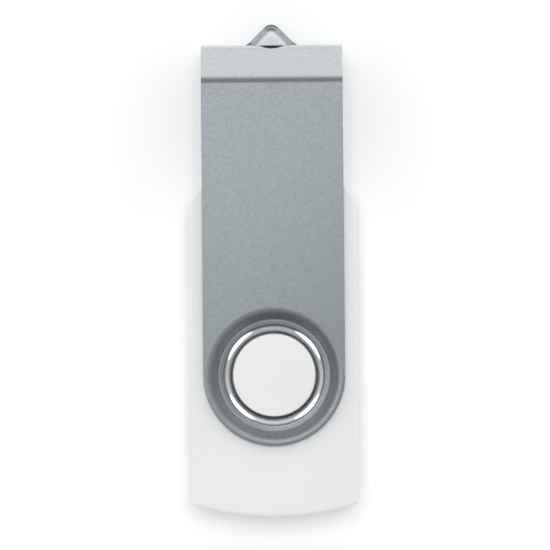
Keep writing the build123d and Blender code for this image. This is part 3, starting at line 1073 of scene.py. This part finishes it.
@dataclass
class Board:
    """The circuit board and what is soldered to it, which stay as CAD made them."""

    finishes: dict[str, Finish] = field(
        default_factory=lambda: {
            "circuit_board": SolderMask(),
            "memory_chip": ChipResin(),
            "memory_chip_leads": TinPlate(),
            "controller_chip": ChipResin(),
            "controller_chip_leads": TinPlate(),
            "regulator": ChipResin(),
            "regulator_leads": TinPlate(),
            "crystal_base": WhiteCeramic(),
            "crystal_lid": BrightNickel(),
            "activity_led": WhiteCeramic(),
            "activity_led_lens": LensResin(),
            "capacitors": CapacitorCeramic(),
            "capacitor_ends": TinPlate(),
            "resistors": ResistorGlaze(),
            "resistor_ends": TinPlate(),
            "contact_solder": Solder(),
            "leg_solder": Solder(),
        }
    )

    def dress(self) -> None:
        """Gives every carried-over node its finish."""
        for node, finish in self.finishes.items():
            piece = frame["nodes"][node]
            if not piece.material_slots:
                piece.data.materials.append(None)
            for slot in piece.material_slots:
                slot.material = finish.material()
            LOG.info("%s: %s", node, finish.name)


# ---- Studio -------------------------------------------------------------------------------------
@dataclass
class Studio:
    """White floor, soft sky, two lights that fill, four that shine in the steel, and the camera.

    Metres and degrees. The card is the patch of sky straight above, which the flat steel mirrors. The
    rest of the sky is given by height, from 0 level to 1 straight up, and grey: dark round the card, where
    the dish and the crease look, and light lower down, where the nose and the lip look.
    """

    floor_half: float = 20.0
    aim: tuple[float, float] = (0.00018, -0.0006)
    mid_height: float = 0.0055
    camera_height: float = 0.4
    roll: float = -0.5
    lens: float = 229.0
    sensor: float = 36.0
    shine_spread: float = 32.0
    shine_tilt: float = 48.0  # from straight up
    shine_strength: float = 0.36
    shine_azimuths: tuple[float, ...] = (43.0, 137.0, 223.0, 317.0)
    overhead_strength: float = 1.04
    overhead_spread: float = 21.0
    overhead_tilt: float = 9.0  # from straight up
    overhead_azimuth: float = 90.0  # from +X, as all of them
    room_strength: float = 0.54
    room_spread: float = 110.0
    card_at: tuple[float, float] = (2.5, -3.5)  # from straight up, towards +X and +Y
    card_edge: tuple[float, float] = (7.0, 14.0)  # from its middle, where it fades
    card_grey: float = 0.59
    card_dip: float = 0.3  # the most it falls below that
    card_rise: float = 0.5  # the most it rises above that
    card_tint: tuple[float, float, float] = (0.94, 1.0, 1.03)
    card_slope: tuple[float, float] = (-9.5, 15.0)  # how fast it brightens towards +X and +Y
    dark: float = 0.5  # greys below this take the card's tint
    turn: float = 0.6  # the sky changes from near to away over this much of y, each side of the middle
    away: tuple[tuple[float, float], ...] = (
        (0.0, 0.85),
        (0.5, 0.95),
        (0.72, 0.95),
        (0.82, 0.48),
        (0.89, 0.26),
        (0.97, 0.29),
    )
    near: tuple[tuple[float, float], ...] = (
        (0.0, 0.8),
        (0.39, 0.62),
        (0.6, 0.7),
        (0.75, 0.4),
        (0.84, 0.07),
        (0.97, 0.1),
    )

    def dress(self) -> None:
        """Builds the whole studio."""
        self.build_floor()
        self.build_sky()
        self.build_lamps()
        self.build_camera()
        bpy.context.scene.view_settings.view_transform = "Standard"

    def build_floor(self) -> None:
        """Lays a wide white floor."""
        bm = bmesh.new()
        bmesh.ops.create_grid(bm, x_segments=1, y_segments=1, size=self.floor_half)
        mesh = bpy.data.meshes.new("studio_floor")
        bm.to_mesh(mesh)
        bm.free()
        mesh.materials.append(StudioPaper().material())
        floor = bpy.data.objects.new("studio_floor", mesh)
        bpy.context.scene.collection.objects.link(floor)

    def build_sky(self) -> None:
        """Makes the sky: grey overhead, light on the plug's side, darker opposite, white to the camera."""
        world = bpy.data.worlds.new("studio_sky")
        bpy.context.scene.world = world
        world.use_nodes = True
        tree = world.node_tree
        tree.nodes.clear()
        ray = add_node(tree, "TexCoord").outputs["Generated"]
        split = add_node(tree, "SeparateXYZ", inputs={0: ray})
        ramps = []
        for stops in (self.away, self.near):
            ramp = add_node(tree, "ValToRGB", inputs={"Fac": split.outputs["Z"]})
            elements = ramp.color_ramp.elements
            while len(elements) < len(stops):
                elements.new(0.5)
            for element, (place, grey) in zip(elements, stops):
                tint = self.card_tint if grey < self.dark else (1.0, 1.0, 1.0)
                element.position, element.color = place, (*(grey * part for part in tint), 1.0)
            ramps.append(ramp.outputs[0])
        smooth = {"interpolation_type": "SMOOTHSTEP"}
        side = add_node(
            tree,
            "MapRange",
            smooth,
            {"Value": split.outputs["Y"], "From Min": -self.turn, "From Max": self.turn},
        ).outputs[0]
        sky = add_node(tree, "Mix", {"data_type": "RGBA"}, {0: side, 6: ramps[1], 7: ramps[0]}).outputs[2]
        lean_x, lean_y = (math.radians(angle) for angle in self.card_at)
        middle = Vector((math.tan(lean_x), math.tan(lean_y), 1)).normalized()
        dot = {"operation": "DOT_PRODUCT"}
        facing = add_node(tree, "VectorMath", dot, {0: ray, 1: middle}).outputs["Value"]
        inner, outer = (math.cos(math.radians(angle)) for angle in self.card_edge)
        on_card = add_node(
            tree, "MapRange", smooth, {"Value": facing, "From Min": outer, "From Max": inner}
        ).outputs[0]
        across = add_node(tree, "VectorMath", dot, {0: ray, 1: (*self.card_slope, 0.0)}).outputs["Value"]
        card = add_node(
            tree,
            "MapRange",
            inputs={
                "Value": across,
                "From Min": -self.card_dip,
                "From Max": self.card_rise,
                "To Min": self.card_grey - self.card_dip,
                "To Max": self.card_grey + self.card_rise,
            },
        ).outputs[0]
        card = add_node(
            tree, "VectorMath", {"operation": "MULTIPLY"}, {0: card, 1: self.card_tint}
        ).outputs["Vector"]
        sky = add_node(tree, "Mix", {"data_type": "RGBA"}, {0: on_card, 6: sky, 7: card}).outputs[2]
        lit = add_node(tree, "Background", inputs={"Color": sky, "Strength": 1.0}).outputs[0]
        seen = add_node(tree, "Background", inputs={"Color": (1, 1, 1, 1), "Strength": 1.0}).outputs[0]
        camera = add_node(tree, "LightPath").outputs["Is Camera Ray"]
        both = add_node(tree, "MixShader", inputs={0: camera, 1: lit, 2: seen}).outputs[0]
        add_node(tree, "OutputWorld", inputs={"Surface": both})

    def build_lamps(self) -> None:
        """Hangs two soft lights that only fill, and four on the diagonals that only shine in the steel.

        They are suns, so that the floor is lit evenly however far it runs.
        """
        overhead = self.build_lamp(
            "overhead",
            self.overhead_strength,
            self.overhead_spread,
            self.overhead_tilt,
            self.overhead_azimuth,
        )
        overhead.visible_glossy = False
        room = self.build_lamp("room", self.room_strength, self.room_spread)
        room.visible_glossy = False
        for azimuth in self.shine_azimuths:
            name = f"diagonal_{azimuth:.0f}"
            shine = self.build_lamp(name, self.shine_strength, self.shine_spread, self.shine_tilt, azimuth)
            shine.visible_diffuse = False

    def build_lamp(
        self, name: str, strength: float, spread: float, tilt: float = 0.0, azimuth: float = 0.0
    ) -> bpy.types.Object:
        """Adds a sun.

        Args:
            name: its name.
            strength: irradiance.
            spread: how wide it looks, in degrees.
            tilt: degrees from straight up.
            azimuth: the side it stands on, in degrees from +X.

        Returns:
            The lamp.
        """
        data = bpy.data.lights.new(name, "SUN")
        data.energy, data.angle = strength, math.radians(spread)
        lamp = bpy.data.objects.new(name, data)
        lamp.rotation_euler = (0, math.radians(tilt), math.radians(azimuth))
        bpy.context.scene.collection.objects.link(lamp)
        return lamp

    def build_camera(self) -> None:
        """Hangs the camera straight above, with a long lens."""
        data = bpy.data.cameras.new("studio_camera")
        data.lens, data.sensor_width = self.lens, self.sensor
        data.clip_start, data.clip_end = 0.01, 100.0
        camera = bpy.data.objects.new("studio_camera", data)
        camera.location = (*self.aim, self.mid_height + self.camera_height)
        camera.rotation_euler = (0, 0, math.radians(self.roll))
        bpy.context.scene.collection.objects.link(camera)
        bpy.context.scene.camera = camera


def main() -> None:
    """Builds every sub-assembly and the studio."""
    logging.basicConfig(level=logging.INFO, format="%(message)s")
    shop = Workshop(Vector(frame["joints"][0]["pos_m"]))
    SwivelCover(shop).dress()
    Case(shop).dress()
    Plug(shop).dress()
    Board().dress()
    Studio().dress()


if __name__ == "__main__":
    main()
